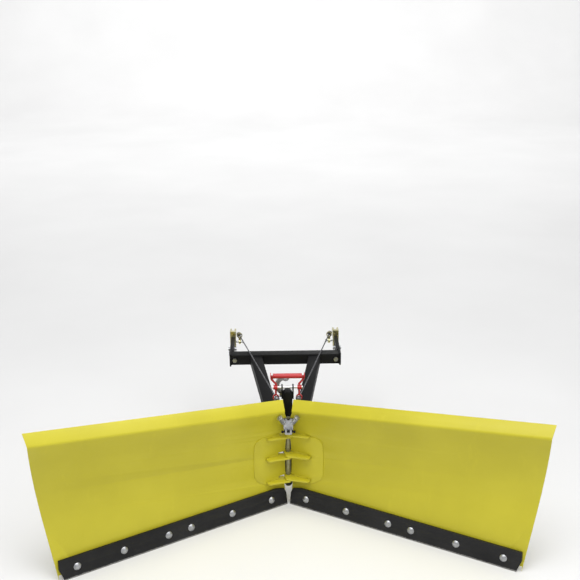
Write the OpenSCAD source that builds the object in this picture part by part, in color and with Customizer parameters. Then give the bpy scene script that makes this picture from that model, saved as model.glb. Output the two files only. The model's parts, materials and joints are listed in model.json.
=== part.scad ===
// Two-wing snow plow blade with a push frame, for the front of an all-terrain vehicle.
// The blade stands on its cutting edges. X runs across the blade, -Y is the plowing
// direction and Z is up. Each wing is drawn along +X and turned about the hinge rod.

/* [Wings] */
// Length of one wing's top edge, from the hinge rod's axis
wing_len = 750; // [600:10:900]
// Distance from the hinge rod's axis to the wing's bottom outer corner
wing_foot_len = 704; // [560:4:860]
// Height of the blade beside the hinge
hub_h = 336; // [290:2:380]
// Height of the blade at its outer end
tip_h = 432; // [380:2:500]
// Angle of each wing ahead of a straight blade
wing_angle = 30; // [15:1:32]
// Swing of each wing from its forward stop to its rear stop
wing_swing = 60; // [30:15:60]
// Thickness of the moldboard sheet
sheet_t = 3; // [2:0.5:5]
// Backward lean of the flat lower part, in degrees
lower_lean = 10; // [4:1:14]
// Forward lean of the sheet just under its top lip, in degrees
crest_lean = 25; // [15:1:32]
// Height of the flat lower part
flat_h = 60; // [50:1:80]
// Number of press bends in the curved part
bend_count = 8; // [5:1:14]
// Width of the lip that is bent back along the top
lip_w = 32; // [20:1:45]
// Backward lean of the lip, in degrees
lip_lean = 40; // [20:1:55]
// Radius of the bend between the sheet and its lip
crest_r = 9; // [5:1:16]
// Gap between the ground and the sheet's bottom edge
sheet_clear = 14; // [8:1:24]

/* [Cutting edge] */
// Thickness of the cutting edge
edge_t = 8; // [6:1:14]
// Height of the cutting edge along its face
edge_h = 55; // [48:1:70]
// How far the cutting edge's foot stands ahead of the hinge rod's axis
edge_proud = 20; // [14:1:26]
// Bottom inner end of the cutting edge, from the hinge rod's axis
edge_in = 15.5; // [15:0.5:20]
// Outer end of the cutting edge, short of the wing's bottom outer corner by
edge_short = 4; // [2:1:12]
// First bolt, from the hinge rod's axis
bolt_first = 66; // [60:1:80]
// Long spacing of the edge bolts
bolt_pitch = 130; // [90:2:140]
// Short spacing of the middle pair of edge bolts
bolt_mid_pitch = 68; // [50:2:90]
// Height of the edge bolts along the edge's face
bolt_h = 26; // [22:1:34]
// Shank diameter of the edge bolts
bolt_d = 8; // [6:1:10]
// Head diameter of the edge bolts
bolt_head_d = 20; // [16:1:24]

/* [Hinge] */
// Diameter of the hinge rod
rod_d = 14; // [12:1:18]
// Radial running clearance round the hinge rod
run_gap = 0.08; // [0.03:0.01:0.1]
// Thickness of one hinge tab
tab_t = 6; // [5:1:8]
// Radius of the hinge tabs' eyes
tab_r = 13; // [12:1:16]
// Length of the hinge tabs along the wing
tab_len = 74; // [60:1:90]
// Height of the lowest pair of tabs
tab_low_z = 76; // [74:1:84]
// Height of the middle pair of tabs
tab_mid_z = 153; // [150:1:160]
// Height of the top pair of tabs
tab_top_z = 222; // [215:1:226]

/* [Push frame] */
// Width of the square tubes
tube_w = 35; // [30:1:45]
// Wall of the square tubes
tube_t = 3; // [2:0.5:4]
// Length of the cross tube
cross_len = 358; // [320:2:440]
// Distance from the hinge rod to the cross tube
cross_y = 405; // [370:1:460]
// Height of the cross tube's axis
cross_z = 285; // [260:1:310]
// Distance from the hinge rod to the rear coupling bores
coupler_y = 575; // [560:1:640]
// Height of the rear coupling bores
coupler_z = 305; // [290:1:330]
// Bore of the rear couplings
coupler_bore = 14.2; // [12:0.1:18]
// Gap between the two ears of a rear coupling
coupler_gap = 10; // [8:1:24]

/* [Release gear] */
// Height of the release handle's pivot
pivot_z = 348; // [342:1:360]
// Height of the release handle's grip above its pivot
grip_rise = 36; // [30:1:50]
// Drop from the release handle's pivot to its cable rings
ring_drop = 32; // [26:1:34]
// Diameter of the angle lock pins
lock_d = 14; // [12:1:18]
// Travel of the angle lock pins
lock_travel = 24; // [22:1:26]

/* [Hidden] */
$fn = 48;

far = 1200;            // reach of every trimming solid
part_gap = 0.5;        // air between pieces that only stand beside each other
bolt_gap = 0.5;        // radial room round a bolt
yellow = [0.86, 0.80, 0.10];
black = [0.05, 0.05, 0.06];
zinc = [0.75, 0.76, 0.78];
gold_zinc = [0.66, 0.62, 0.36];
red = [0.75, 0.10, 0.12];

// ---- sheet profile: points are [y, z] beside the hinge, the front face first
foot_y = -edge_proud + edge_t / cos(lower_lean);
tail = tip_h - hub_h + 40;
flare = atan((tip_h - hub_h) / (wing_len * cos(lower_lean)));
up = [sin(lower_lean), cos(lower_lean)];
flat_end = [foot_y, 0] + flat_h * up;
crest_z = hub_h - lip_w * cos(lip_lean) - crest_r * (sin(crest_lean) + sin(lip_lean));
bend_r = (crest_z - flat_end[1]) / (sin(lower_lean) + sin(crest_lean));
bend_step = (lower_lean + crest_lean) / bend_count;
lip_bends = 5;
lip_step = (crest_lean + lip_lean) / lip_bends;
crest_y = flat_end[0] + bend_r * (cos(crest_lean) - cos(lower_lean));
lip_foot = [crest_y + crest_r * (cos(crest_lean) - cos(lip_lean)),
            crest_z + crest_r * (sin(crest_lean) + sin(lip_lean))];

function on_bend(a) = flat_end + bend_r * [cos(a) - cos(lower_lean), sin(lower_lean) - sin(a)];
function on_crest(a) = [crest_y, crest_z]
    + crest_r * [cos(crest_lean) - cos(a), sin(a) + sin(crest_lean)];
front_line = concat(
    [[foot_y, 0] - tail * up],
    [for (i = [0:bend_count]) on_bend(lower_lean - i * bend_step)],
    [for (i = [1:lip_bends]) on_crest(-crest_lean + i * lip_step)],
    [lip_foot + lip_w * [sin(lip_lean), cos(lip_lean)]]
);
// front face's y at height z, beside the hinge, for z in the curved part
function sheet_y(z) =
    flat_end[0] + bend_r * (sqrt(1 - pow(sin(lower_lean) - (z - flat_end[1]) / bend_r, 2))
    - cos(lower_lean));

function unit(v) = v / norm(v);
function back_normal(d) = [d[1], -d[0]];
function face_normal(p, i) = back_normal(unit(p[i + 1] - p[i]));
function mitre(p, i) =
    i == 0 ? face_normal(p, 0) :
    i == len(p) - 1 ? face_normal(p, i - 1) :
    (face_normal(p, i - 1) + face_normal(p, i))
        / (1 + face_normal(p, i - 1) * face_normal(p, i));
function shifted(p, t) = [for (i = [0:len(p) - 1]) p[i] + t * mitre(p, i)];
function reversed(p) = [for (i = [len(p) - 1:-1:0]) p[i]];

// ---- inner edges of the wings: distance along the wing that leaves half a gap of g at
// the middle of the blade, where the face stands v ahead of the hinge rod
function clear_u(g, v) = (g + v * sin(wing_angle)) / cos(wing_angle);
half_gap = 3.5;
post_w = 28;
inner_u = rod_d / 2 + 1.5;
lug_t = 10;
low_lug_z = tab_low_z - lug_t - 2;
top_lug_z = tab_top_z + 2 * tab_t + 4;
lug_r = 13;
lug_arm_w = 15;          // narrow, so that the sheets clear it at the rear stop
lug_notch_u = lug_r + 1.5;
throat_z = crest_z - 14;
throat_u = clear_u(half_gap, -sheet_y(throat_z));
crest_u = clear_u(post_w / 2 - 4, -crest_y);
lip_top_y = lip_foot[0] + lip_w * sin(lip_lean);
lip_u = clear_u(post_w / 2 + 1, -lip_top_y);

// ---- places that several pieces share
tab_z = [tab_low_z, tab_mid_z, tab_top_z];
tab_back = 24;
post_y = 34;
post_d = 26;
post_top = pivot_z - 8;
box_y = post_y + post_d;
box_w = 116;
box_d = 38;
box_z = 168;
box_h = 64;
box_t = 5;
arm_in_x = 38;
arm_in_y = box_y + box_d;
arm_in_z = box_z + box_h / 2 + 2;
arm_out_x = 97;
sector_r_in = 100;
sector_r_out = 148;
sector_r = 125;
sector_t = 6;
sector_z = 112;
sector_gap = 4;
lock_angle = 45;
lock_x = sector_r * cos(lock_angle);
lock_y = sector_r * sin(lock_angle);
guide_r = 12;
guide_z = sector_z + 2 * sector_t + sector_gap + 8;
guide_h = 54;
lock_tip_z = guide_z - 2;
spring_len = lock_travel + 16;
handle_half = 45;
leg_x = 34;
leg_d = 6;
pivot_d = 8;
pivot_y = post_y + post_d / 2;
ring_z = pivot_z - ring_drop;
ring_r = 9.5;
ring_bore_r = 6.3;
ring_t = 4;
cable_d = 4;
ball_r = 8;
rear_x = 178;
rear_bar_w = 12;
rear_bar_h = 38;
ear_t = 5;
ear_r = 16;
ear_x = coupler_gap / 2;
coupler_len = 34;
coupler_y0 = coupler_y - coupler_len;
pawl_bolt_r = 3;
clip_y = cross_y + 78;
clip_pin_r = 6;
pawl_x = rear_x - coupler_gap / 2 - ear_t - ball_r - 5;
pawl_y = coupler_y - 28;
pawl_arm = 24;
pawl_z = coupler_z - 21;
rail_w = 30;
rail_t = 2.5;
rail_h = 185;
rail_start = 185;
rib_t = 5;
rib_depth = 44;
hinge_rib_u = 64;
bar_h = 40;
bar_t = 5;
bolt_u = [for (i = [0:5]) bolt_first + i * bolt_pitch
          + (i > 2 ? bolt_mid_pitch - bolt_pitch : 0)];

// ---- the frame stands over the middle of its own outline
// where the sheet's end cuts the line that leaves profile point p along the wing: the sheet
// is turned by the flare in the plane of its flat part, whose up and forward ways are b and c
end_slope = (wing_len - wing_foot_len) / tip_h;
function part_b(p) = (p[0] - foot_y) * sin(lower_lean) + p[1] * cos(lower_lean);
function part_c(p) = p[1] * sin(lower_lean) - (p[0] - foot_y) * cos(lower_lean);
function end_x(b, c) =
    (wing_foot_len + end_slope * (b * cos(lower_lean) / cos(flare) + c * sin(lower_lean)))
    / (1 - end_slope * tan(flare) * cos(lower_lean));
function end_y(b, c) = foot_y - c * cos(lower_lean)
    + (end_x(b, c) * tan(flare) + b / cos(flare)) * sin(lower_lean);
function tip_y(b, c) = end_y(b, c) * cos(wing_angle) - end_x(b, c) * sin(wing_angle);
tip_corner_y = min([for (p = front_line) tip_y(part_b(p), part_c(p))]);
rear_end_y = coupler_y + ear_r;
mid_y = (tip_corner_y + rear_end_y) / 2;
module place() translate([0, -mid_y, 0]) children();
module on_side(side) mirror([side < 0 ? 1 : 0, 0, 0]) children();
module wing(side) place() on_side(side) rotate([0, 0, -wing_angle]) children();

// ---- shared shapes
module slab(points) translate([0, far / 2, 0]) rotate([90, 0, 0])
    linear_extrude(far) polygon(points);

module flared() translate([0, foot_y, 0])
    rotate(a = flare, v = [0, -cos(lower_lean), sin(lower_lean)])
    translate([0, -foot_y, 0]) children();

module band(t0, t1) flared() rotate([90, 0, 90]) linear_extrude(wing_len + tip_h)
    polygon(concat(shifted(front_line, t0), reversed(shifted(front_line, t1))));

// a plate in the flat lower part's plane, its back face on the sheet's front face at lift 0
module lower_plate(lift, t) translate([0, foot_y, 0]) rotate([-lower_lean, 0, 0])
    translate([0, -lift, 0]) rotate([90, 0, 0]) linear_extrude(t) children();

module along(a, b) {
    d = b - a;
    translate(a) rotate([0, acos(d[2] / norm(d)), atan2(d[1], d[0])]) children();
}
module bar(a, b, d) along(a, b) cylinder(h = norm(b - a), d = d);
module rod_chain(points, d) {
    for (i = [0:len(points) - 2]) bar(points[i], points[i + 1], d);
    for (i = [1:len(points) - 2]) translate(points[i]) sphere(d = d);
}
module x_cylinder(r, len) rotate([0, 90, 0]) cylinder(r = r, h = len, center = true);
module y_cylinder(r, len) rotate([90, 0, 0]) cylinder(r = r, h = len, center = true);
module hex(across, h) cylinder(d = across / cos(30), h = h, $fn = 6);
module ring_stack(turns, pitch, r, wire) for (i = [0:turns - 1])
    translate([0, 0, wire / 2 + i * pitch]) rotate_extrude() translate([r, 0]) circle(d = wire, $fn = 16);
module box_tube(w, h, wall, len) difference() {
    translate([-len / 2, -w / 2, -h / 2]) cube([len, w, h]);
    translate([-len / 2 - 1, -w / 2 + wall, -h / 2 + wall])
        cube([len + 2, w - 2 * wall, h - 2 * wall]);
}

// ================= wings
module moldboard_outline() slab([
    [lug_notch_u, sheet_clear], [lug_notch_u, low_lug_z + lug_t + 1],
    [inner_u, low_lug_z + lug_t + 1], [inner_u, top_lug_z - 4], [lug_notch_u, top_lug_z - 2],
    [lug_notch_u, top_lug_z + lug_t + 2], [throat_u, throat_z], [crest_u, crest_z + crest_r],
    [lip_u, hub_h + 4], [lip_u, tip_h + far / 4],
    [wing_len + (wing_len - wing_foot_len) * far / 4 / tip_h, tip_h + far / 4],
    [wing_foot_len, 0], [wing_foot_len, sheet_clear]]);

module edge_bolt_places(lift) for (u = bolt_u)
    translate([0, foot_y, 0]) rotate([-lower_lean, 0, 0])
    translate([u, -lift, bolt_h]) rotate([90, 0, 0]) children();

module bolt_bores() edge_bolt_places(-far / 8)
    cylinder(r = bolt_d / 2 + bolt_gap, h = far / 4);

// the eyes of both wings' tabs turn through the sheet near the rod
// the round part also clears the nose of the other wing's tab through the whole swing
module tab_slots(side) for (z = tab_z) {
    translate([0, 0, z - 1]) cylinder(r = tab_nose + tab_nose_r + part_gap, h = 2 * tab_t + 2);
    translate([0, -60, tab_level(z, side) - part_gap])
        cube([tab_len + part_gap, 120, tab_t + 2 * part_gap]);
}

module moldboard(side) color(yellow) wing(side) difference() {
    intersection() {
        band(0, sheet_t);
        moldboard_outline();
    }
    tab_slots(side);
    bolt_bores();
}

// flat-outlined skin plate with cut lower corner, on the front round the hinge tabs
doubler_t = 2;
doubler_u = 112;
module doubler(side) color(yellow) wing(side) difference() {
    intersection() {
        band(-doubler_t, 0);
        slab([[inner_u + 1, edge_h + 22], [inner_u + 1, top_lug_z - 5],
              [doubler_u - 22, top_lug_z - 5], [doubler_u - 6, top_lug_z - 12],
              [doubler_u, top_lug_z - 26], [doubler_u, edge_h + 52],
              [doubler_u - 10, edge_h + 36], [doubler_u - 34, edge_h + 22]]);
    }
    tab_slots(side);
}

// the left wing's tab lies under the right wing's tab
function tab_level(z, side) = z + (side > 0 ? tab_t : 0) + (side > 0 ? 0.15 : -0.15);
// at the forward stop the noses of both tabs stand straight ahead of the rod, so that the
// front edges run in one line across the corner between the wings
tab_end_r = 9;
tab_nose_r = 9;
tab_nose = 23;
// the straight edges start this far inside the round ends
tab_bite = 0.4;
nose = tab_nose * [sin(wing_angle), -cos(wing_angle)];
tab_end = [tab_len - tab_end_r, -6];
front_way = unit(tab_end - nose);
front_out = [front_way[1], -front_way[0]];
across_nose = [cos(wing_angle), sin(wing_angle)];
module tab_shape() difference() {
    union() {
        circle(r = tab_r);
        translate(nose) circle(r = tab_nose_r);
        translate(tab_end) circle(r = tab_end_r);
        polygon([nose + (tab_nose_r - tab_bite) * front_out,
                 tab_end + (tab_end_r - tab_bite) * front_out,
                 tab_end + [tab_end_r - tab_bite, 0], [tab_len - tab_bite, 5],
                 [tab_len - 4, tab_back], [50, tab_back], [tab_r + 4, 9], [tab_r - 1, 2],
                 -(tab_r - 2 * tab_bite) * across_nose, nose - (tab_nose_r - tab_bite) * across_nose]);
    }
    circle(r = rod_d / 2 + run_gap);
}
module hinge_tabs(side) color(yellow) wing(side) for (z = tab_z)
    translate([0, 0, tab_level(z, side)]) linear_extrude(tab_t - 0.3) tab_shape();

// holes every 15 degrees let the lock pin hold the wing from stop to stop
hole_step = 15;
lock_gap = 1.3;
sector_from = -2;
sector_to = 86;
module sector_shape() difference() {
    polygon(concat(
        [for (a = [sector_from:4:sector_to]) sector_r_out * [cos(a), sin(a)]],
        [for (a = [sector_to:-4:sector_from]) sector_r_in * [cos(a), sin(a)]]));
    for (a = [lock_angle + wing_angle - wing_swing:hole_step:lock_angle + wing_angle])
        rotate(a) translate([sector_r, 0]) circle(r = lock_d / 2 + lock_gap);
}
module sector_plate(side) color(yellow) wing(side) difference() {
    translate([0, 0, sector_z + (side > 0 ? sector_t + sector_gap : 0)])
        linear_extrude(sector_t) sector_shape();
    band(-far / 8, sheet_t);
}

// upright plates behind the sheet, the first one beside the hinge tabs
function rib_back_y(u) = u < 100 ? tab_back : rib_depth;
rib_u = [hinge_rib_u, 250, 440, 640];
module ribs(side) color(yellow) wing(side) difference() {
    for (u = rib_u) intersection() {
        band(sheet_t, far / 10);
        translate([u, -far / 10, edge_h + 4])
            cube([rib_t, far / 10 + rib_back_y(u), tip_h]);
        translate([0, 0, -lip_w * cos(lip_lean) + (u > 100 ? 0 : top_lug_z - crest_z - 6)])
            slab([[0, 0], [wing_len, 0], [wing_len, tip_h], [0, hub_h]]);
    }
    rail_hole();
    for (z = tab_z) translate([0, -60, tab_level(z, side) - part_gap])
        cube([tab_len + part_gap, 120, tab_t + 2 * part_gap]);
    translate([0, 0, sector_z - 1])
        cylinder(r = sector_r_out + 2, h = 2 * sector_t + sector_gap + 2);
}

// stiffening tube behind the sheet, parallel to the top edge
rail_y = sheet_t + 14;
module rail_axis() flared() translate([0, rail_y + rail_w / 2, rail_h]) children();
module rail_hole() rail_axis() translate([0, -rail_w / 2 - part_gap, -rail_w / 2 - part_gap])
    cube([far, rail_w + 2 * part_gap, rail_w + 2 * part_gap]);
module rail(side) color(yellow) wing(side)
    rail_axis() translate([rail_start + (wing_foot_len - rail_start - 20) / 2, 0, 0])
    box_tube(rail_w, rail_w, rail_t, wing_foot_len - rail_start - 20);

// flat bar behind the sheet that backs the cutting edge's bolts
module backing_bar(side) color(yellow) wing(side) difference() {
    lower_plate(-sheet_t - bar_t, bar_t) translate([edge_in + 6, sheet_clear + 2])
        square([wing_foot_len - edge_in - 12, bar_h]);
    bolt_bores();
}

// bolted wear plate: a chamfered outer foot and a stepped inner top corner
edge_out = wing_foot_len - edge_short;
module cutting_edge(side) color(black) wing(side) difference() {
    intersection() {
        lower_plate(0, edge_t) polygon([
            [edge_in, -6], [edge_in, edge_h - 20], [edge_in + 5, edge_h - 6],
            [edge_in + 30, edge_h], [edge_out, edge_h], [edge_out + 2, edge_h * 0.55],
            [edge_out - 8, 2], [edge_out - 8, -6]]);
        translate([0, -far / 2, 0]) cube([far, far, far]);
    }
    bolt_bores();
}

dome_h = 4.5;
dome_r = (bolt_head_d * bolt_head_d / 4 + dome_h * dome_h) / (2 * dome_h);
stack_t = edge_t + sheet_t + bar_t;
module edge_bolts(side) color(zinc) wing(side) edge_bolt_places(edge_t) {
    intersection() {
        translate([0, 0, dome_h - dome_r]) sphere(r = dome_r);
        cylinder(d = bolt_head_d, h = dome_h + 1);
    }
    translate([0, 0, -stack_t - 14]) cylinder(d = bolt_d, h = stack_t + 14);
}

washer_t = 2;
module edge_nuts(side) color(zinc) wing(side) edge_bolt_places(edge_t)
    translate([0, 0, -stack_t]) difference() {
        union() {
            translate([0, 0, -washer_t]) cylinder(r = bolt_d + 1, h = washer_t);
            translate([0, 0, -washer_t - bolt_d * 0.8]) hex(bolt_d * 1.6, bolt_d * 0.8);
        }
        translate([0, 0, -20]) cylinder(r = bolt_d / 2, h = 21);
    }

// short coil springs on bolts in the top inner corners
spring_r = 6;
spring_wire = 2;
spring_turns = 7;
spring_pitch = 3.6;
spring_bolt_d = 5;
spring_u = throat_u + 19;
spring_z = throat_z - 3;
spring_lean = 34;
spring_stand = 11;
module corner_spring(side) color(zinc) wing(side) difference() {
    translate([spring_u, sheet_y(spring_z + 10) - spring_stand, spring_z])
        rotate([0, spring_lean, 0]) {
            ring_stack(spring_turns, spring_pitch, spring_r, spring_wire);
            translate([0, 0, -3]) cylinder(d = spring_bolt_d, h = spring_turns * spring_pitch + 4);
            translate([0, 0, -3]) hex(11, 3);
            translate([0, 0, spring_turns * spring_pitch]) cylinder(r = spring_r + 2, h = 2);
            rotate([0, -spring_lean, 0]) translate([6, 0, 8]) rotate([-90, 0, 0])
                cylinder(d = spring_bolt_d, h = spring_stand + 4);
        }
    band(0, far / 8);
}

// ================= push frame
module cross_tube() color(black) place()
    translate([0, cross_y, cross_z]) box_tube(tube_w, tube_w, tube_t, cross_len);

end_plate_t = 5;
module tube_end_plates() color(black) place() for (side = [-1, 1]) on_side(side)
    translate([cross_len / 2, cross_y - tube_w / 2 - 3, cross_z - tube_w / 2 - 4])
    cube([end_plate_t, tube_w + 3, tube_w + 8]);

arm_w = 38;
arm_h = 30;
arm_dx = arm_out_x - arm_in_x;
arm_dy = cross_y - tube_w / 2 - arm_in_y;
arm_dz = cross_z - arm_in_z;
arm_turn = atan(arm_dx / arm_dy);
arm_rise = atan(arm_dz / arm_dy * cos(arm_turn));
module push_arm(side) color(black) place() on_side(side) difference() {
    intersection() {
        translate([arm_in_x, arm_in_y, arm_in_z]) rotate([arm_rise, 0, -arm_turn])
            translate([-arm_w / 2, -60, -arm_h / 2]) cube([arm_w, cross_y, arm_h]);
        translate([0, arm_in_y, 0]) cube([far, arm_dy, far]);
    }
    translate([arm_in_x, arm_in_y, arm_in_z]) rotate([arm_rise, 0, -arm_turn])
        translate([-arm_w / 2 + tube_t, -80, -arm_h / 2 + tube_t])
        cube([arm_w - 2 * tube_t, cross_y + 60, arm_h - 2 * tube_t]);
}

module head_box() color(black) place() difference() {
    translate([-box_w / 2, box_y, box_z]) cube([box_w, box_d, box_h]);
    translate([-box_w / 2 + box_t, box_y + box_t, box_z - 1])
        cube([box_w - 2 * box_t, box_d - 2 * box_t, box_h + 2]);
}

module head_post() color(black) place() intersection() {
    translate([-post_w / 2, post_y, low_lug_z]) cube([post_w, post_d, post_top - low_lug_z]);
    union() {
        translate([0, post_y + post_d / 2, post_top - post_w / 2])
            y_cylinder(post_w / 2, post_d + 2);
        translate([-post_w, post_y - 1, 0]) cube([post_w * 2, post_d + 2, post_top - post_w / 2]);
    }
}

// two black lugs carry the hinge rod, under the lowest tabs and over the top tabs
module hinge_lugs() color(black) place() for (z = [low_lug_z, top_lug_z])
    translate([0, 0, z]) linear_extrude(lug_t) difference() {
        union() {
            circle(r = lug_r);
            translate([-lug_arm_w / 2, 0]) square([lug_arm_w, post_y]);
        }
        circle(r = rod_d / 2);
    }

rod_low_z = low_lug_z - 14;
rod_top_z = top_lug_z + lug_t + 26;
module hinge_rod() color([0.45, 0.44, 0.30]) place()
    translate([0, 0, rod_low_z]) cylinder(d = rod_d, h = rod_top_z - rod_low_z);

module rod_nuts() color(black) place() difference() {
    union() {
        translate([0, 0, low_lug_z - 9]) hex(rod_d * 1.5, 9);
        translate([0, 0, rod_top_z - 3]) cylinder(r = rod_d / 2 + 3, h = 2);
    }
    translate([0, 0, rod_low_z - 1]) cylinder(d = rod_d, h = rod_top_z);
}

// the yoke rings the rod behind the sheets, reaches forward between them and carries a
// round-ended plate in front, which holds the cross pin
yoke_w = 27;
yoke_plate_t = 6;
yoke_y = -44;
yoke_z = top_lug_z + 3;
yoke_top = throat_z + 4;
yoke_bore_r = 2.7;
yoke_pin_z = yoke_z + 12;
module hinge_yoke() color(zinc) place() difference() {
    union() {
        translate([0, 0, top_lug_z + lug_t + 0.5]) cylinder(r = rod_d / 2 + 4, h = 18);
        translate([-half_gap + 1, yoke_y + 1, top_lug_z + lug_t + 4])
            cube([2 * half_gap - 2, -yoke_y - rod_d / 2, 12]);
        translate([-yoke_w / 2, yoke_y, yoke_z + yoke_w / 2])
            cube([yoke_w, yoke_plate_t, yoke_top - yoke_z - yoke_w / 2]);
        translate([0, yoke_y + yoke_plate_t / 2, yoke_z + yoke_w / 2])
            y_cylinder(yoke_w / 2, yoke_plate_t);
        for (x = [-7, 7]) translate([x - 2.5, yoke_y - 8, yoke_z + 5]) cube([5, 9, 15]);
    }
    cylinder(r = rod_d / 2, h = far);
    translate([0, yoke_y + yoke_plate_t / 2, yoke_top])
        y_cylinder(6, yoke_plate_t + 2);
    translate([0, yoke_y - 4, yoke_pin_z]) x_cylinder(yoke_bore_r, yoke_w * 2);
}
module yoke_pin() color(black) place() translate([0, yoke_y - 4, yoke_pin_z]) {
    x_cylinder(yoke_bore_r - run_gap, 34);
    for (x = [-18, 18]) translate([x, 0, 0]) x_cylinder(4, 4);
}

// guide sleeves for the angle lock pins, on brackets from the head box
module lock_guide(side) color(black) place() on_side(side) difference() {
    union() {
        translate([lock_x, lock_y, guide_z]) cylinder(r = guide_r, h = guide_h);
        translate([box_w / 2, lock_y - 10, guide_z + 34])
            cube([lock_x - box_w / 2, 16, 18]);
    }
    translate([lock_x, lock_y, 0]) cylinder(r = lock_d / 2 + run_gap, h = far);
}

t_bar_len = 56;
t_bar_d = 8;
collar_h = 10;
lock_top_z = guide_z + guide_h + spring_len;
module lock_pin(side) color(zinc) place() on_side(side) translate([lock_x, lock_y, 0]) {
    translate([0, 0, lock_tip_z]) cylinder(d = lock_d, h = lock_top_z - lock_tip_z);
    translate([0, 0, lock_top_z]) cylinder(r = guide_r, h = collar_h);
    translate([0, 0, lock_top_z + collar_h / 2]) y_cylinder(t_bar_d / 2, t_bar_len);
}
lock_wire = 2.2;
module lock_spring(side) color(zinc) place() on_side(side)
    translate([lock_x, lock_y, guide_z + guide_h + 0.4])
    ring_stack(7, (spring_len - lock_wire - 0.8) / 6, lock_d / 2 + 0.6 + lock_wire / 2, lock_wire);

// ================= release gear
bracket_t = 4;
module pivot_bracket() color(black) place() difference() {
    for (side = [-1, 1]) on_side(side)
        translate([post_w / 2, pivot_y - 9, pivot_z - 34]) cube([bracket_t, 18, 40]);
    translate([0, pivot_y, pivot_z]) x_cylinder(pivot_d / 2, far / 4);
}
module pivot_rod() color([0.9, 0.9, 0.92]) place() translate([0, pivot_y, pivot_z])
    x_cylinder(pivot_d / 2, 2 * leg_x + 20);

boss_r = 7;
boss_len = 12;
crank_z = boss_r + leg_d / 2 + 1;
crank_top_z = 24;
boss_bite = 1.5;
elbow_d = leg_d + 1;
leg_bottom = ring_r - ring_drop - 1;
module cable_ring() difference() {
    y_cylinder(ring_r, ring_t);
    y_cylinder(ring_bore_r, ring_t + 2);
}
module release_handle() color(red) place() translate([0, pivot_y, pivot_z]) {
    for (side = [-1, 1]) on_side(side) {
        // both ends of the leg stop inside the boss, clear of its bore
        translate([leg_x, 0, leg_bottom]) cylinder(d = leg_d, h = boss_bite - boss_r - leg_bottom);
        translate([leg_x, 0, boss_r - boss_bite]) cylinder(d = leg_d, h = crank_z - boss_r + boss_bite);
        bar([leg_x, 0, crank_z], [handle_half, 0, crank_top_z], leg_d);
        for (p = [[leg_x, 0, crank_z], [handle_half, 0, crank_top_z]])
            translate(p) sphere(d = elbow_d);
        translate([handle_half, 0, crank_top_z]) cylinder(d = leg_d, h = grip_rise - crank_top_z);
        translate([leg_x + 1, 0, 0]) difference() {
            x_cylinder(boss_r, boss_len);
            x_cylinder(pivot_d / 2 + run_gap, boss_len + 2);
        }
        translate([leg_x, 0, -ring_drop]) cable_ring();
    }
}
grip_d = 15;
module handle_grip() color(red) place() translate([0, pivot_y, pivot_z + grip_rise]) difference() {
    union() {
        x_cylinder(grip_d / 2, 2 * handle_half - leg_d);
        for (side = [-1, 1]) translate([side * (handle_half + leg_d / 2 + 1), 0, 0])
            x_cylinder(grip_d / 2 + 2, 2);
        x_cylinder(leg_d / 2, 2 * handle_half + leg_d + 1);
    }
    for (side = [-1, 1]) translate([side * handle_half, 0, -grip_rise])
        cylinder(d = leg_d, h = grip_rise + leg_d);
}

ring_front = [leg_x, pivot_y, ring_z];
ring_rear = [pawl_x, pawl_y, pawl_z + pawl_arm];
cable_dir = unit(ring_rear - ring_front);
ball_off = ring_t / 2 + ball_r + 1.5;
module release_cable(side) color([0.2, 0.2, 0.21]) place() on_side(side) {
    bar(ring_front - ball_off * cable_dir, ring_rear + ball_off * cable_dir, cable_d);
    translate(ring_front - ball_off * cable_dir) sphere(r = ball_r);
    translate(ring_rear + ball_off * cable_dir) sphere(r = ball_r);
}

// curved steel hook behind the post; its top eye takes the lifting rope
hook_r = 25;
hook_w = 13;
hook_t = 8;
hook_x = -5;
hook_z = pivot_z - 8;
hook_y = box_y + 14;
eye_r = 11;
eye_bore_r = 6;
module hook_shape() difference() {
    union() {
        difference() {
            circle(r = hook_r + hook_w / 2);
            circle(r = hook_r - hook_w / 2);
            rotate(-120) square([far / 8, far / 8]);
            translate([0, -far / 8]) square([far / 8, far / 4]);
        }
        translate([0, hook_r]) circle(r = eye_r);
        translate([-hook_r * 0.75, -hook_r - 12]) square([hook_r, 22]);
    }
    translate([0, hook_r]) circle(r = eye_bore_r);
}
module lift_hook() color([0.55, 0.56, 0.56]) place() {
    translate([hook_x, hook_y + hook_t, hook_z]) rotate([90, 0, 0])
        linear_extrude(hook_t) hook_shape();
    translate([hook_x - 10, box_y, hook_z - hook_r - 10]) cube([16, hook_y - box_y, 16]);
}

// ================= rear arms and couplings
module rear_arm(side) color(black) place() on_side(side) difference() {
    translate([rear_x - rear_bar_w / 2, cross_y + tube_w / 2, cross_z - rear_bar_h / 2])
        cube([rear_bar_w, coupler_y0 - cross_y - tube_w / 2, rear_bar_h]);
    translate([rear_x, clip_y, cross_z]) x_cylinder(clip_pin_r, 2 * rear_bar_w + 16);
}

bridge_t = 12;
module coupler(side) color(gold_zinc) place() on_side(side) translate([rear_x, 0, 0])
    difference() {
        union() {
            translate([-ear_x - ear_t, coupler_y0, cross_z - rear_bar_h / 2])
                cube([coupler_gap + 2 * ear_t, bridge_t, coupler_z - cross_z + rear_bar_h]);
            for (x = [-ear_x - ear_t, ear_x]) translate([x, 0, 0]) {
                translate([0, coupler_y0, coupler_z - ear_r])
                    cube([ear_t, coupler_y - coupler_y0, 2 * ear_r]);
                translate([ear_t / 2, coupler_y, coupler_z]) x_cylinder(ear_r, ear_t);
            }
        }
        translate([0, coupler_y, coupler_z]) x_cylinder(coupler_bore / 2, far / 4);
        translate([0, pawl_y, pawl_z]) x_cylinder(pawl_bolt_r, far / 4);
    }

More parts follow.
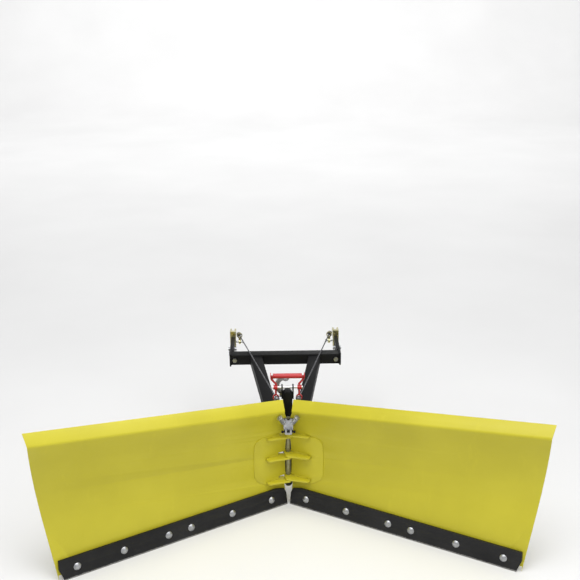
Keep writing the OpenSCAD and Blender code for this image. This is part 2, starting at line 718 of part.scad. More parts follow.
module pawl_bolts() color(zinc) place() for (side = [-1, 1]) on_side(side) {
    translate([rear_x - ear_x - ear_t - 10, pawl_y, pawl_z])
        x_cylinder(pawl_bolt_r, 34 + 2 * (ear_x - 9));
    translate([rear_x - ear_x - ear_t - 24, pawl_y, pawl_z]) x_cylinder(5.5, 3);
}

pawl_t = 8;
pawl_nose = 14;
module pawl(side) color(gold_zinc) place() on_side(side)
    translate([pawl_x, pawl_y, pawl_z]) {
        difference() {
            union() {
                x_cylinder(8, pawl_t);
                translate([-pawl_t / 2, -3, 0]) cube([pawl_t, 6, pawl_arm - ring_r + 1]);
                translate([-pawl_t / 2, 0, -5]) cube([pawl_t, pawl_nose + 6, 8]);
            }
            x_cylinder(pawl_bolt_r + run_gap, pawl_t + 2);
        }
        translate([0, 0, pawl_arm]) cable_ring();
    }

module rear_bolts() color(zinc) place() for (side = [-1, 1]) on_side(side)
    translate([cross_len / 2 - 12, cross_y - tube_w / 2 - 6, cross_z])
    rotate([-90, 0, 0]) hex(13, 6);

clip_r = 10;
module ring_clips() color(zinc) place() for (side = [-1, 1]) on_side(side)
    translate([rear_x, clip_y, cross_z]) {
        x_cylinder(clip_pin_r, rear_bar_w + 16);
        for (x = [-rear_bar_w / 2 - 5, rear_bar_w / 2 + 5]) translate([x, 0, -clip_r - 4])
            rotate([0, 90, 0]) rotate_extrude() translate([clip_r, 0]) circle(d = 2, $fn = 16);
    }

cross_tube();
tube_end_plates();
push_arm(-1);  // push_arm_left
push_arm(1);  // push_arm_right
head_box();
head_post();
hinge_lugs();
hinge_rod();
rod_nuts();
hinge_yoke();
yoke_pin();
lock_guide(-1);  // lock_guide_left
lock_guide(1);  // lock_guide_right
pivot_bracket();
pivot_rod();
lift_hook();
rear_arm(-1);  // rear_arm_left
rear_arm(1);  // rear_arm_right
rear_bolts();
coupler(-1);  // coupler_left
coupler(1);  // coupler_right
ring_clips();
pawl_bolts();
moldboard(-1);  // moldboard_left
doubler(-1);  // doubler_left
hinge_tabs(-1);  // hinge_tabs_left
sector_plate(-1);  // sector_plate_left
ribs(-1);  // ribs_left
rail(-1);  // rail_left
backing_bar(-1);  // backing_bar_left
cutting_edge(-1);  // cutting_edge_left
edge_bolts(-1);  // edge_bolts_left
edge_nuts(-1);  // edge_nuts_left
corner_spring(-1);  // corner_spring_left
moldboard(1);  // moldboard_right
doubler(1);  // doubler_right
hinge_tabs(1);  // hinge_tabs_right
sector_plate(1);  // sector_plate_right
ribs(1);  // ribs_right
rail(1);  // rail_right
backing_bar(1);  // backing_bar_right
cutting_edge(1);  // cutting_edge_right
edge_bolts(1);  // edge_bolts_right
edge_nuts(1);  // edge_nuts_right
corner_spring(1);  // corner_spring_right
release_handle();
handle_grip();
release_cable(-1);  // release_cable_left
release_cable(1);  // release_cable_right
pawl(-1);  // pawl_left
pawl(1);  // pawl_right
lock_pin(-1);  // lock_pin_left
lock_pin(1);  // lock_pin_right
lock_spring(-1);  // lock_spring_left
lock_spring(1);  // lock_spring_right
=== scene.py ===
"""Looks of the two-wing snow plow blade: finishes, worked edges, coils, welds, nuts and light.

Metres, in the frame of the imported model: X across the blade, -Y the plowing way, Z up.
"""

import json
import math

import bmesh
import bpy
from mathutils import Matrix, Vector
from mathutils.bvhtree import BVHTree


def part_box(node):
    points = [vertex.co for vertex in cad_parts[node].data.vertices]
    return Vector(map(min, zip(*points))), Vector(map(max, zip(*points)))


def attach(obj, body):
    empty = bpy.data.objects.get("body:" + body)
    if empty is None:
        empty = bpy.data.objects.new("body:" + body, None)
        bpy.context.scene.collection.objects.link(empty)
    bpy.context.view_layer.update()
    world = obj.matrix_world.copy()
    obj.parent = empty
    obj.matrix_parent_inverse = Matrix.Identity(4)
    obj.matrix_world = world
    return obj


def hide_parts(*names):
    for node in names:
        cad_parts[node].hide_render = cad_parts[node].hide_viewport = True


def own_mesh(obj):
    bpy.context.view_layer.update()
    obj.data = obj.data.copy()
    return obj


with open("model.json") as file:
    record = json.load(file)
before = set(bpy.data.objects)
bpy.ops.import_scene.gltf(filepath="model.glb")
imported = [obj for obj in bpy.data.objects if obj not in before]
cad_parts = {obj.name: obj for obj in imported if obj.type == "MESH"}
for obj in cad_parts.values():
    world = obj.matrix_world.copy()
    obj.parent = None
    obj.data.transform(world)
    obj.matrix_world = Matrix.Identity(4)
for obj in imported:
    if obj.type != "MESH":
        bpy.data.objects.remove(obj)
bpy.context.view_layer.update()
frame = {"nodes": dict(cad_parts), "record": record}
nodes = frame["nodes"]
SIDES = {"left": -1, "right": 1}

# ---------------------------------------------------------------- places read from the model
rod_low, rod_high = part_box("hinge_rod")
HINGE_Y = (rod_low.y + rod_high.y) / 2
WING_ANGLE = math.radians(30)


def wing_point(side, u, v, z):
    """The place u along a wing and v behind its hinge line, at height z."""
    x = side * (u * math.cos(WING_ANGLE) + v * math.sin(WING_ANGLE))
    y = v * math.cos(WING_ANGLE) - u * math.sin(WING_ANGLE) + HINGE_Y
    return Vector((x, y, z))


def wing_way(side):
    """The level direction straight back from a wing."""
    return Vector((side * math.sin(WING_ANGLE), math.cos(WING_ANGLE), 0))


# ---------------------------------------------------------------- finishes
class Finish:
    """A node material with short calls for the nodes every finish needs."""

    def __init__(self, name, metallic, roughness):
        self.material = bpy.data.materials.new(name)
        self.material.use_nodes = True
        self.tree = self.material.node_tree
        self.shader = self.tree.nodes["Principled BSDF"]
        self.shader.inputs["Metallic"].default_value = metallic
        self.shader.inputs["Roughness"].default_value = roughness
        self.place = self.add("ShaderNodeTexCoord").outputs["Object"]

    def add(self, kind, **settings):
        made = self.tree.nodes.new(kind)
        for key, value in settings.items():
            setattr(made, key, value)
        return made

    def link(self, a, b):
        self.tree.links.new(a, b)

    def noise(self, scale, detail=3.0, rough=0.5, stretch=(1, 1, 1)):
        """Noise with scale in cells per metre."""
        mapping = self.add("ShaderNodeMapping")
        mapping.inputs["Scale"].default_value = stretch
        texture = self.add("ShaderNodeTexNoise")
        texture.inputs["Scale"].default_value = scale
        texture.inputs["Detail"].default_value = detail
        texture.inputs["Roughness"].default_value = rough
        self.link(self.place, mapping.inputs["Vector"])
        self.link(mapping.outputs["Vector"], texture.inputs["Vector"])
        return texture.outputs["Fac"]

    def remap(self, value, low, high, out_low=0.0, out_high=1.0):
        node = self.add("ShaderNodeMapRange", clamp=True)
        node.inputs["From Min"].default_value = low
        node.inputs["From Max"].default_value = high
        node.inputs["To Min"].default_value = out_low
        node.inputs["To Max"].default_value = out_high
        self.link(value, node.inputs["Value"])
        return node.outputs["Result"]

    def blend(self, factor, a, b):
        """Mixes two colours, each a value or an output."""
        node = self.add("ShaderNodeMix", data_type="RGBA")
        self.link(factor, node.inputs["Factor"])
        for socket, colour in ((node.inputs[6], a), (node.inputs[7], b)):
            if isinstance(colour, tuple):
                socket.default_value = (*colour, 1)
            else:
                self.link(colour, socket)
        return node.outputs[2]

    def math(self, operation, a, b):
        node = self.add("ShaderNodeMath", operation=operation)
        for socket, value in zip(node.inputs, (a, b)):
            if isinstance(value, (int, float)):
                socket.default_value = value
            else:
                self.link(value, socket)
        return node.outputs["Value"]

    def height(self):
        """Height over the ground, in metres."""
        split = self.add("ShaderNodeSeparateXYZ")
        self.link(self.place, split.inputs["Vector"])
        return split.outputs["Z"]

    def bump(self, *layers):
        """Each layer is (height output, depth in metres); later layers lie on earlier ones."""
        normal = None
        for height, depth in layers:
            node = self.add("ShaderNodeBump")
            node.inputs["Strength"].default_value = 1.0
            node.inputs["Distance"].default_value = depth
            self.link(height, node.inputs["Height"])
            if normal is not None:
                self.link(normal, node.inputs["Normal"])
            normal = node.outputs["Normal"]
        self.link(normal, self.shader.inputs["Normal"])

    def colour(self, output):
        self.link(output, self.shader.inputs["Base Color"])

    def roughness(self, output):
        self.link(output, self.shader.inputs["Roughness"])


def paint(name, main, shade, rough, peel, coat, gloss=0.5):
    """Powder coat: slow drift of colour, orange peel, fine specks and faint rub marks."""
    made = Finish(name, 0.0, rough)
    drift = made.remap(made.noise(6.0, 4.0), 0.35, 0.65)
    body = made.blend(drift, main, shade)
    specks = made.remap(made.noise(900.0, 1.0), 0.66, 0.74)
    rubs = made.remap(made.noise(26.0, 6.0, 0.7, (1.0, 1.0, 0.18)), 0.58, 0.72)
    lighter = tuple(min(1.0, c * 1.12 + 0.01) for c in main)
    darker = tuple(c * 0.8 for c in shade)
    body = made.blend(made.math("MULTIPLY", rubs, 0.3), body, lighter)
    made.colour(made.blend(made.math("MULTIPLY", specks, 0.35), body, darker))
    grain = made.noise(140.0, 3.0)
    made.roughness(made.math(
        "ADD",
        made.remap(grain, 0.3, 0.7, rough - 0.04, rough + 0.05),
        made.math("MULTIPLY", rubs, 0.08),
    ))
    made.bump((made.noise(330.0, 2.0), peel), (made.noise(1500.0, 1.0), peel * 0.15))
    made.shader.inputs["Specular IOR Level"].default_value = gloss
    made.shader.inputs["Coat Weight"].default_value = coat
    made.shader.inputs["Coat Roughness"].default_value = 0.22
    return made.material


def plated(name, main, tint, rough):
    """Zinc plate: bright metal whose tone clouds, with a fine drawn grain."""
    made = Finish(name, 1.0, rough)
    clouds = made.remap(made.noise(70.0, 4.0), 0.35, 0.68)
    stains = made.remap(made.noise(240.0, 3.0, 0.7), 0.55, 0.75)
    body = made.blend(clouds, main, tint)
    dull = tuple(c * 0.62 for c in tint)
    made.colour(made.blend(made.math("MULTIPLY", stains, 0.45), body, dull))
    made.roughness(made.math(
        "ADD",
        made.remap(clouds, 0.0, 1.0, rough - 0.06, rough + 0.08),
        made.math("MULTIPLY", stains, 0.18),
    ))
    made.bump((made.noise(900.0, 2.0, 0.5, (1.0, 1.0, 0.2)), 0.00003))
    return made.material


def worn_black(name):
    """Satin black wear plate, scuffed pale along the foot that slides on the ground."""
    made = Finish(name, 0.0, 0.5)
    made.shader.inputs["Specular IOR Level"].default_value = 0.22
    drift = made.remap(made.noise(9.0, 5.0), 0.35, 0.65)
    body = made.blend(drift, (0.010, 0.010, 0.0105), (0.017, 0.017, 0.0175))
    ragged = made.math("MULTIPLY", made.noise(160.0, 4.0, 0.7), 0.0065)
    foot = made.remap(made.math("SUBTRACT", made.height(), ragged), -0.001, 0.0012, 1.0, 0.0)
    dust = made.remap(made.noise(45.0, 6.0, 0.75), 0.55, 0.8, 0.0, 0.18)
    body = made.blend(dust, body, (0.075, 0.072, 0.068))
    made.colour(made.blend(foot, body, (0.23, 0.225, 0.215)))
    made.roughness(made.remap(made.noise(120.0, 3.0), 0.3, 0.7, 0.4, 0.52))
    made.bump((made.noise(520.0, 3.0), 0.00006), (made.noise(60.0, 3.0), 0.00025))
    return made.material


def rough_steel(name, main, tint, metallic, rough, grain):
    """Bare steel: mottled, with a pitted blasted or a smooth oiled surface."""
    made = Finish(name, metallic, rough)
    mottle = made.remap(made.noise(110.0, 5.0, 0.65), 0.35, 0.65)
    made.colour(made.blend(mottle, main, tint))
    made.roughness(made.remap(mottle, 0.0, 1.0, rough - 0.07, rough + 0.1))
    made.bump((made.noise(850.0, 3.0, 0.6), grain))
    return made.material


FINISHES = {
    "yellow_paint": paint(
        "yellow_paint", (0.55, 0.49, 0.024), (0.505, 0.448, 0.019), 0.47, 0.00005, 0.05, 0.4,
    ),
    "black_paint": paint(
        "black_paint", (0.006, 0.006, 0.0065), (0.009, 0.009, 0.0095), 0.5, 0.00004, 0.0, 0.16,
    ),
    "red_paint": paint("red_paint", (0.52, 0.02, 0.022), (0.42, 0.014, 0.018), 0.34, 0.00003, 0.3),
    "zinc": plated("zinc", (0.47, 0.475, 0.49), (0.36, 0.37, 0.385), 0.4),
    "bright_zinc": plated("bright_zinc", (0.93, 0.93, 0.94), (0.86, 0.87, 0.89), 0.34),
    "yellow_zinc": plated("yellow_zinc", (0.62, 0.545, 0.28), (0.48, 0.5, 0.36), 0.31),
    "edge_black": worn_black("edge_black"),
    # rod_steel's olive-yellow tint is partly oiled steel and partly a painted reflection of the yellow
    # wings
    "rod_steel": rough_steel("rod_steel", (0.34, 0.33, 0.2), (0.25, 0.24, 0.16), 0.7, 0.42, 0.00003),
    "cast_steel": rough_steel(
        "cast_steel", (0.42, 0.43, 0.43), (0.34, 0.345, 0.345), 0.5, 0.48, 0.00012,
    ),
    "cable_steel": rough_steel("cable_steel", (0.2, 0.2, 0.21), (0.1, 0.1, 0.11), 0.85, 0.36, 0.00002),
}
NODE_SLOT = {entry["node"]: entry["material_slot"] for entry in frame["record"]["subparts"]}
NODE_BODY = {
    node: body
    for body, members in frame["record"]["behaviour"]["bodies"].items()
    for node in members
}


def finish(piece, slot):
    piece.data.materials.clear()
    piece.data.materials.append(FINISHES[slot])


for node, piece in nodes.items():
    finish(piece, NODE_SLOT[node])


def new_piece(name, mesh, slot, body, *stands_for):
    """Puts a mesh in the scene with its finish, on its body, in place of CAD nodes if any."""
    piece = bpy.data.objects.new(name, mesh)
    bpy.context.scene.collection.objects.link(piece)
    finish(piece, slot)
    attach(piece, body)
    if stands_for:
        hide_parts(*stands_for)
    return piece


# ---------------------------------------------------------------- worked edges
MM = 0.001
EDGE_ROUNDING = {
    "cross_tube": 3.0, "tube_end_plates": 0.8, "push_arm_left": 3.0, "push_arm_right": 3.0,
    "head_box": 2.0, "head_post": 2.0, "hinge_lugs": 1.0,
    "hinge_yoke": 0.7, "pivot_bracket": 0.7, "rear_arm_left": 1.2, "rear_arm_right": 1.2,
    "coupler_left": 0.9, "coupler_right": 0.9, "pawl_left": 0.6, "pawl_right": 0.6,
    "lift_hook": 1.4, "lock_guide_left": 0.6, "lock_guide_right": 0.6,
    "lock_pin_left": 0.8, "lock_pin_right": 0.8, "handle_grip": 0.6,
    "hinge_tabs_left": 1.4, "hinge_tabs_right": 1.4, "doubler_left": 1.3, "doubler_right": 1.3,
    "sector_plate_left": 0.7, "sector_plate_right": 0.7, "ribs_left": 0.6, "ribs_right": 0.6,
    "rail_left": 2.4, "rail_right": 2.4, "backing_bar_left": 0.7, "backing_bar_right": 0.7,
    "cutting_edge_left": 0.9, "cutting_edge_right": 0.9,
    "moldboard_left": 0.5, "moldboard_right": 0.5,
}
SHARP = math.radians(34)


def worked(node, rounding):
    """A copy of a CAD node whose sharp edges are rounded, shown in its place."""
    mesh = nodes[node].data.copy()
    mesh.name = node + "_worked"
    work = bmesh.new()
    work.from_mesh(mesh)
    bmesh.ops.remove_doubles(work, verts=work.verts, dist=2e-6)
    bmesh.ops.dissolve_limit(
        work, angle_limit=math.radians(0.4), verts=work.verts, edges=work.edges,
        delimit={"NORMAL"},
    )
    bmesh.ops.recalc_face_normals(work, faces=work.faces)
    work.to_mesh(mesh)
    work.free()
    for face in mesh.polygons:
        face.use_smooth = True
    piece = new_piece(node + "_worked", mesh, NODE_SLOT[node], NODE_BODY[node], node)
    bevel = piece.modifiers.new("edges", "BEVEL")
    bevel.width = rounding * MM
    bevel.segments = 2
    bevel.limit_method = "ANGLE"
    bevel.angle_limit = SHARP
    bevel.use_clamp_overlap = True
    bevel.harden_normals = True
    return piece


for node, rounding in EDGE_ROUNDING.items():
    worked(node, rounding)


# ---------------------------------------------------------------- swept shapes
def sweep(points, radius, sides=8, closed_ends=True):
    """A tube mesh along points; radius is a number or a function of the point's index."""
    size = radius if callable(radius) else (lambda i: radius)
    work = bmesh.new()
    rings = []
    across = None
    for i, point in enumerate(points):
        ahead = points[min(i + 1, len(points) - 1)]
        behind = points[max(i - 1, 0)]
        way = (ahead - behind).normalized()
        if across is None:
            across = way.orthogonal().normalized()
        across = (across - way * across.dot(way)).normalized()
        other = way.cross(across)
        ring = []
        for k in range(sides):
            turn = 2 * math.pi * k / sides
            offset = across * math.cos(turn) + other * math.sin(turn)
            ring.append(work.verts.new(point + offset * size(i)))
        rings.append(ring)
    for a, b in zip(rings, rings[1:]):
        for k in range(sides):
            work.faces.new((a[k], a[(k + 1) % sides], b[(k + 1) % sides], b[k]))
    if closed_ends:
        work.faces.new(list(reversed(rings[0])))
        work.faces.new(rings[-1])
    for face in work.faces:
        face.smooth = len(face.verts) == 4
    bmesh.ops.recalc_face_normals(work, faces=work.faces)
    mesh = bpy.data.meshes.new("sweep")
    work.to_mesh(mesh)
    work.free()
    return mesh


def joined(meshes, name):
    """One mesh out of several."""
    work = bmesh.new()
    for mesh in meshes:
        work.from_mesh(mesh)
        bpy.data.meshes.remove(mesh)
    whole = bpy.data.meshes.new(name)
    work.to_mesh(whole)
    work.free()
    return whole


def lathe(profile, place, sides=32):
    """A turned mesh: profile is (radius, height) pairs, place the matrix of its axis."""
    work = bmesh.new()
    rings = []
    for radius, height in profile:
        ring = []
        for k in range(sides):
            turn = 2 * math.pi * k / sides
            spot = Vector((radius * math.cos(turn), radius * math.sin(turn), height))
            ring.append(work.verts.new(place @ spot))
        rings.append(ring)
    for a, b in zip(rings, rings[1:]):
        for k in range(sides):
            work.faces.new((a[k], a[(k + 1) % sides], b[(k + 1) % sides], b[k]))
    work.faces.new(list(reversed(rings[0])))
    work.faces.new(rings[-1])
    for face in work.faces:
        face.smooth = False
    bmesh.ops.recalc_face_normals(work, faces=work.faces)
    mesh = bpy.data.meshes.new("lathe")
    work.to_mesh(mesh)
    work.free()
    return mesh


def along_z(origin, way):
    """The matrix that takes the Z axis to a line from origin along way."""
    turn = Vector((0, 0, 1)).rotation_difference(way.normalized()).to_matrix().to_4x4()
    return Matrix.Translation(origin) @ turn


# ---------------------------------------------------------------- coil springs
def coil(place, radius, wire, length, turns):
    """A round-wire compression spring with one closed turn at each end."""
    steps = int(turns * 20)
    free = length - wire
    points = []
    for i in range(steps + 1):
        turn = i / 20
        if turn < 1:
            rise = wire * 0.9 * turn
        elif turn > turns - 1:
            rise = free - wire * 0.9 * (turns - turn)
        else:
            share = (turn - 1) / (turns - 2)
            rise = wire * 0.9 + share * (free - 1.8 * wire)
        spot = Vector((
            radius * math.cos(2 * math.pi * turn),
            radius * math.sin(2 * math.pi * turn),
            wire / 2 + rise,
        ))
        points.append(place @ spot)
    return sweep(points, wire / 2, 8)


LOCK_WIRE = 2.2 * MM
for name, side in SIDES.items():
    low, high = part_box("lock_spring_" + name)
    middle = (low + high) / 2
    ring_radius = (high.x - low.x) / 2 - LOCK_WIRE / 2
    foot = Vector((middle.x, middle.y, low.z))
    spring = new_piece(
        "lock_coil_" + name,
        coil(Matrix.Translation(foot), ring_radius, LOCK_WIRE, high.z - low.z, 8),
        "zinc", "push_frame", "lock_spring_" + name,
    )
    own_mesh(spring)



# ---------------------------------------------------------------- hardware in more detail
AXIS_RADIUS = 0.1 * MM    # a turned solid starts this near its axis
HEX_STEPS = 48


def hex_ring(place, flat_r, limit, height, work):
    """The points of a hexagon whose corners are turned down to limit."""
    ring = []
    for k in range(HEX_STEPS):
        turn = 2 * math.pi * k / HEX_STEPS
        from_flat = (turn + math.pi / 6) % (math.pi / 3) - math.pi / 6
        radius = min(flat_r / math.cos(from_flat), limit)
        spot = Vector((radius * math.cos(turn), radius * math.sin(turn), height))
        ring.append(work.verts.new(place @ spot))
    return ring


def nut(place, flat_r, tall):
    """A hexagon with its corners chamfered at both ends, open side along the place's Z."""
    work = bmesh.new()
    corner = flat_r / math.cos(math.pi / 6)
    levels = [
        (flat_r * 0.97, 0.0), (flat_r * 1.02, 0.03 * tall), (corner, 0.16 * tall),
        (corner, 0.84 * tall), (flat_r * 1.02, 0.97 * tall), (flat_r * 0.97, tall),
    ]
    rings = [hex_ring(place, flat_r, limit, height, work) for limit, height in levels]
    for a, b in zip(rings, rings[1:]):
        for k in range(HEX_STEPS):
            after = (k + 1) % HEX_STEPS
            work.faces.new((a[k], a[after], b[after], b[k]))
    work.faces.new(list(reversed(rings[0])))
    work.faces.new(rings[-1])
    bmesh.ops.recalc_face_normals(work, faces=work.faces)
    mesh = bpy.data.meshes.new("nut")
    work.to_mesh(mesh)
    work.free()
    return mesh


def thread(place, radius, start, end, pitch):
    """The ridge of a screw thread round a shank."""
    turns = (end - start) / pitch
    points = []
    for i in range(int(turns * 16) + 1):
        turn = i / 16
        spot = Vector((
            radius * math.cos(2 * math.pi * turn),
            radius * math.sin(2 * math.pi * turn),
            start + turn * pitch,
        ))
        points.append(place @ spot)
    return sweep(points, pitch * 0.3, 5)


def islands(node):
    """The middles of a CAD node's separate solids."""
    work = bmesh.new()
    work.from_mesh(nodes[node].data)
    bmesh.ops.remove_doubles(work, verts=work.verts, dist=2e-6)
    left = set(work.verts)
    middles = []
    while left:
        todo = [left.pop()]
        low = todo[0].co.copy()
        high = todo[0].co.copy()
        while todo:
            vert = todo.pop()
            for axis in range(3):
                low[axis] = min(low[axis], vert.co[axis])
                high[axis] = max(high[axis], vert.co[axis])
            for edge in vert.link_edges:
                other = edge.other_vert(vert)
                if other in left:
                    left.discard(other)
                    todo.append(other)
        middles.append((low + high) / 2)
    work.free()
    return sorted(middles, key=lambda spot: abs(spot.x))


FACE_LEAN = math.radians(10)
NUT_TALL = 6.4 * MM
WASHER_TALL = 2.0 * MM
for name, side in SIDES.items():
    back = wing_way(side) * math.cos(FACE_LEAN) - Vector((0, 0, math.sin(FACE_LEAN)))
    meshes = []
    for i, middle in enumerate(islands("edge_nuts_" + name)):
        seat = middle - back * (NUT_TALL / 2)
        place = along_z(seat, back) @ Matrix.Rotation(0.7 * i, 4, "Z")
        washer = [
            (4.2 * MM, 0.0), (8.7 * MM, 0.0), (9.0 * MM, 0.25 * MM),
            (9.0 * MM, 1.75 * MM), (8.7 * MM, WASHER_TALL), (4.2 * MM, WASHER_TALL),
        ]
        meshes.append(lathe(washer, place))
        lifted = place @ Matrix.Translation((0, 0, WASHER_TALL))
        meshes.append(nut(lifted, 6.4 * MM, NUT_TALL * 0.78))
        collar = [
            (4.1 * MM, NUT_TALL * 0.74), (5.9 * MM, NUT_TALL * 0.74), (5.9 * MM, NUT_TALL * 0.93),
            (5.2 * MM, NUT_TALL), (4.1 * MM, NUT_TALL),
        ]
        meshes.append(lathe(collar, lifted))
        meshes.append(thread(lifted, 4.0 * MM, NUT_TALL + 0.4 * MM, NUT_TALL + 5.0 * MM, 1.25 * MM))
    new_piece("edge_locknuts_" + name, joined(meshes, "edge_locknuts"), "zinc",
              "wing_" + name, "edge_nuts_" + name)


# short springs on bolts in the top inner corners of the wings; the foot is (u, v, z) in mm
SPRING_FOOT = (38.8, -41.2, 284.9)
BOLT_RADIUS = 2.4 * MM
HEAD_TALL = 3.0 * MM
STUD_HEIGHT = 9.0 * MM
STUD_LENGTH = 11.0 * MM
SPRING_LEAN = math.radians(34)
SPRING_COIL = (6.0 * MM, 2.0 * MM, 23.6 * MM, 6.6)
for name, side in SIDES.items():
    u, v, z = (value * MM for value in SPRING_FOOT)
    foot = wing_point(side, u, v, z)
    outward = Vector((side * math.cos(WING_ANGLE), -math.sin(WING_ANGLE), 0))
    lean = outward * math.sin(SPRING_LEAN) + Vector((0, 0, math.cos(SPRING_LEAN)))
    place = along_z(foot, lean)
    radius, wire, length, turns = SPRING_COIL
    meshes = [coil(place, radius, wire, length, turns)]
    shank = [
        (AXIS_RADIUS, -HEAD_TALL), (BOLT_RADIUS, -HEAD_TALL), (BOLT_RADIUS, length + 3.4 * MM),
        (1.9 * MM, length + 4.0 * MM), (AXIS_RADIUS, length + 4.0 * MM),
    ]
    meshes.append(lathe(shank, place))
    under = place @ Matrix.Translation((0, 0, -HEAD_TALL))
    meshes.append(nut(under, 5.5 * MM, HEAD_TALL))
    cap = [
        (BOLT_RADIUS, length), (7.8 * MM, length), (8.0 * MM, length + 0.3 * MM),
        (8.0 * MM, length + 1.5 * MM), (7.6 * MM, length + 1.8 * MM),
        (BOLT_RADIUS, length + 1.8 * MM),
    ]
    meshes.append(lathe(cap, place))
    behind = along_z(place @ Vector((0, 0, STUD_HEIGHT)), wing_way(side))
    stud = [
        (AXIS_RADIUS, 0.0), (BOLT_RADIUS, 0.0),
        (BOLT_RADIUS, STUD_LENGTH), (AXIS_RADIUS, STUD_LENGTH),
    ]
    meshes.append(lathe(stud, behind))
    new_piece("corner_coil_" + name, joined(meshes, "corner_coil"), "zinc",
              "wing_" + name, "corner_spring_" + name)


# twisted wire cables with a ball at each end; their ends are millimetres from the hinge rod
CABLE_FRONT = (34.0, 47.0, 316.0)
CABLE_REAR = (155.0, 547.0, 308.0)
CABLE_RADIUS = 2.0 * MM
BALL_RADIUS = 8.0 * MM
BALL_OFF = BALL_RADIUS + 3.5 * MM
STRANDS = 6
LAY = 26 * MM
for name, side in SIDES.items():
    front = Vector((side * CABLE_FRONT[0], CABLE_FRONT[1], CABLE_FRONT[2])) * MM
    rear = Vector((side * CABLE_REAR[0], CABLE_REAR[1], CABLE_REAR[2])) * MM
    front.y += HINGE_Y
    rear.y += HINGE_Y
    way = (rear - front).normalized()
    start = front - way * BALL_OFF
    length = (rear - front).length + 2 * BALL_OFF
    place = along_z(start, way)
    meshes = []
    strand_radius = CABLE_RADIUS * 0.36
    for strand in range(STRANDS):
        points = []
        steps = int(length / (LAY / 12))
        for i in range(steps + 1):
            along = length * i / steps
            turn = 2 * math.pi * (along / LAY + strand / STRANDS)
            reach = CABLE_RADIUS - strand_radius
            points.append(place @ Vector((reach * math.cos(turn), reach * math.sin(turn), along)))
        meshes.append(sweep(points, strand_radius, 6))
    for end in (0.0, length):
        ball = []
        for i in range(15):
            turn = math.pi * i / 14
            reach = max(BALL_RADIUS * math.sin(turn), AXIS_RADIUS)
            ball.append((reach, end - BALL_RADIUS * math.cos(turn)))
        made = lathe(ball, place)
        for face in made.polygons:
            face.use_smooth = True
        meshes.append(made)
    new_piece("twisted_cable_" + name, joined(meshes, "twisted_cable"), "cable_steel",
              "cable_" + name, "release_cable_" + name)


# ---------------------------------------------------------------- weld beads
def weld(points, radius):
    """A bead along points whose surface ripples as a hand weld does."""
    spaced = []
    step = radius * 0.28
    for a, b in zip(points, points[1:]):
        count = max(1, int((b - a).length / step))
        for i in range(count):
            spaced.append(a.lerp(b, i / count))
    spaced.append(points[-1])

    def size(i):
        if i in (0, len(spaced) - 1):
            return radius * 0.45
        ripple = (i % 5) / 5
        return radius * (0.86 + 0.16 * ripple + 0.05 * math.sin(i * 0.37))

    return sweep(spaced, size, 8)


def tree_of(*names):
    """A ray-casting tree over some CAD nodes."""
    verts = []
    faces = []
    for node in names:
        mesh = nodes[node].data
        first = len(verts)
        verts += [vert.co.copy() for vert in mesh.vertices]
        faces += [[first + i for i in face.vertices] for face in mesh.polygons]
    return BVHTree.FromPolygons(verts, faces)


def plate_levels(node):
    """The (lowest, highest) z of each level plate in a node."""
    heights = sorted({round(vert.co.z, 5) for vert in nodes[node].data.vertices})
    return list(zip(heights[::2], heights[1::2]))


# these are millimetres along, beside and up a wing
RIB_PLACES = (64, 250, 440, 640)
RIB_THICK = 5
STITCH = 26
STITCH_PITCH = 62
STITCH_FROM = 84
STITCH_TO = 380
BESIDE = 1.2
TAB_WELD = range(20, 62, 3)
STITCH_STEP = 3

WING_BEAD = 1.9 * MM
for name, side in SIDES.items():
    beads = []
    skin = tree_of("doubler_" + name, "moldboard_" + name)
    sheet = tree_of("moldboard_" + name)
    ribs = tree_of("ribs_" + name)
    back = wing_way(side)
    outward = Vector((side * math.cos(WING_ANGLE), -math.sin(WING_ANGLE), 0))
    for low, high in plate_levels("hinge_tabs_" + name):
        for z in (low - BESIDE * MM, high + BESIDE * MM):
            line = []
            for u in TAB_WELD:
                hit = skin.ray_cast(wing_point(side, u * MM, -0.1, z), back)[0]
                if hit is not None:
                    line.append(hit - back * 0.4 * MM)
            if len(line) > 4:
                beads.append(weld(line, WING_BEAD))
    for u in RIB_PLACES:
        for z0 in range(STITCH_FROM, STITCH_TO, STITCH_PITCH):
            for flank in (u - BESIDE, u + RIB_THICK + BESIDE):
                line = []
                for z in range(z0, z0 + STITCH, STITCH_STEP):
                    hit = sheet.ray_cast(wing_point(side, flank * MM, 0.3, z * MM), -back)[0]
                    if hit is None:
                        continue
                    spot = hit + back * 3 * MM
                    toward = outward if flank < u else -outward
                    near = ribs.ray_cast(spot - toward * 2 * MM, toward, 8 * MM)[0]
                    if near is not None:
                        line.append(hit + back * 0.5 * MM)
                if len(line) > 3:
                    beads.append(weld(line, WING_BEAD))
    new_piece("wing_welds_" + name, joined(beads, "wing_welds"), "yellow_paint", "wing_" + name)


def loop(middle, across, up, half_w, half_h):
    """The corners of a rectangle, back to the first one."""
    corners = []
    for a, b in ((-1, -1), (1, -1), (1, 1), (-1, 1), (-1, -1)):
        corners.append(middle + across * (a * half_w) + up * (b * half_h))
    return corners


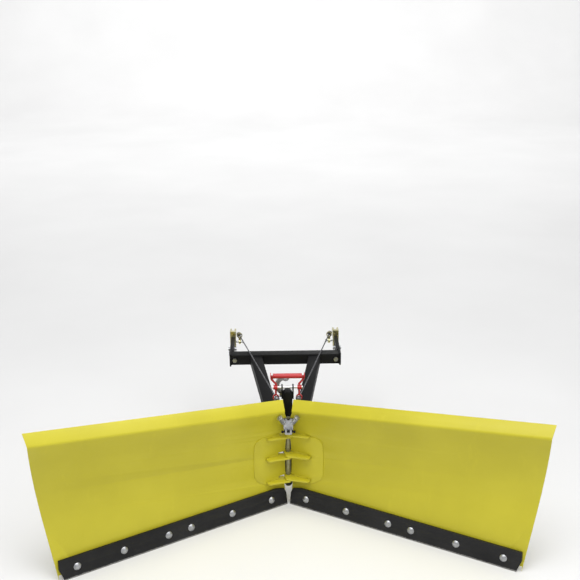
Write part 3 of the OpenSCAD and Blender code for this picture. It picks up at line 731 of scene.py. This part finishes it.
EAST = Vector((1, 0, 0))
NORTH = Vector((0, 1, 0))
UP = Vector((0, 0, 1))
tube_low, tube_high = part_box("cross_tube")
head_low, head_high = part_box("head_box")
post_low, post_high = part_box("head_post")
lug_levels = plate_levels("hinge_lugs")
frame_beads = []
ARM_HALF = 19.6 * MM
ARM_TALL = 15.9 * MM
ARM_INNER_X = 38 * MM
ARM_OUTER_X = 97 * MM
for name, side in SIDES.items():
    arm_low, arm_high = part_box("push_arm_" + name)
    foot = Vector((side * ARM_INNER_X, head_high.y, arm_low.z + ARM_TALL))
    head = Vector((side * ARM_OUTER_X, tube_low.y, arm_high.z - ARM_TALL))
    for spot, out in ((foot, NORTH), (head, -NORTH)):
        ring = loop(spot + out * 0.6 * MM, EAST, UP, ARM_HALF, ARM_TALL)
        frame_beads.append(weld(ring, 2.3 * MM))
    tube_middle = (tube_low + tube_high) / 2
    end = Vector((side * tube_high.x, tube_middle.y, tube_middle.z))
    half = (tube_high.y - tube_low.y) / 2
    frame_beads.append(weld(loop(end - EAST * side * 0.8 * MM, NORTH, UP, half, half), 1.7 * MM))
    seam_x = side * post_high.x
    seam = []
    for z in (head_low.z + 4 * MM, head_high.z - 4 * MM):
        seam.append(Vector((seam_x, head_low.y - 0.5 * MM, z)))
    frame_beads.append(weld(seam, 2.2 * MM))
for low, high in lug_levels:
    for z in (low - 0.6 * MM, high + 0.6 * MM):
        ends = [Vector((x * MM, post_low.y - 0.4 * MM, z)) for x in (-6.5, 6.5)]
        frame_beads.append(weld(ends, 1.9 * MM))
new_piece("frame_welds", joined(frame_beads, "frame_welds"), "black_paint", "push_frame")

# ---------------------------------------------------------------- camera, floor and light
camera_data = bpy.data.cameras.new("camera")
camera_data.sensor_width = 36.0
camera_data.lens = 54.706
camera = bpy.data.objects.new("camera", camera_data)
bpy.context.scene.collection.objects.link(camera)
camera.location = (-0.0449, HINGE_Y - 2.2845, 1.4691)
camera_turn = Matrix.Rotation(-0.023, 4, "Z") @ Matrix.Rotation(math.radians(90 - 19.39), 4, "X")
camera.rotation_euler = (camera_turn @ Matrix.Rotation(-0.005, 4, "Z")).to_euler()
bpy.context.scene.camera = camera


def backdrop():
    """A pale studio floor that curves up behind."""
    profile = [(-12.0, 0.0), (7.0, 0.0)]
    bend = 3.0
    for i in range(1, 17):
        turn = math.radians(90 * i / 16)
        profile.append((7.0 + bend * math.sin(turn), bend * (1 - math.cos(turn))))
    profile.append((7.0 + bend, 14.0))
    work = bmesh.new()
    rows = []
    for x in (-16.0, 16.0):
        rows.append([work.verts.new((x, y, z)) for y, z in profile])
    for i in range(len(profile) - 1):
        work.faces.new((rows[0][i], rows[1][i], rows[1][i + 1], rows[0][i + 1]))
    for face in work.faces:
        face.smooth = True
    mesh = bpy.data.meshes.new("backdrop")
    work.to_mesh(mesh)
    work.free()
    made = Finish("studio_floor", 0.0, 0.75)
    tone = made.remap(made.noise(1.2, 3.0), 0.3, 0.7)
    made.colour(made.blend(tone, (0.72, 0.72, 0.72), (0.76, 0.76, 0.76)))
    floor = bpy.data.objects.new("backdrop", mesh)
    bpy.context.scene.collection.objects.link(floor)
    floor.data.materials.append(made.material)


backdrop()


def soft_light(name, place, aim, size, power):
    data = bpy.data.lights.new(name, "AREA")
    data.shape = "RECTANGLE"
    data.size, data.size_y = size
    data.energy = power
    light = bpy.data.objects.new(name, data)
    bpy.context.scene.collection.objects.link(light)
    light.location = place
    light.rotation_euler = (Vector(aim) - Vector(place)).to_track_quat("-Z", "Y").to_euler()


soft_light("key", (-1.6, -2.6, 3.4), (0, 0, 0.2), (3.0, 2.4), 24)
soft_light("fill", (2.6, -2.4, 2.8), (0, 0, 0.2), (2.6, 2.4), 26)
soft_light("top", (0.0, -1.1, 3.6), (0, -0.1, 0.2), (4.0, 2.4), 112)
soft_light("wall", (0.0, 4.0, 6.5), (0, 10, 3.0), (9.0, 3.0), 520)

world = bpy.data.worlds.new("studio")
world.use_nodes = True
world.node_tree.nodes["Background"].inputs["Color"].default_value = (1.0, 1.0, 1.0, 1)
world.node_tree.nodes["Background"].inputs["Strength"].default_value = 0.52
bpy.context.scene.world = world
bpy.context.scene.view_settings.view_transform = "Standard"
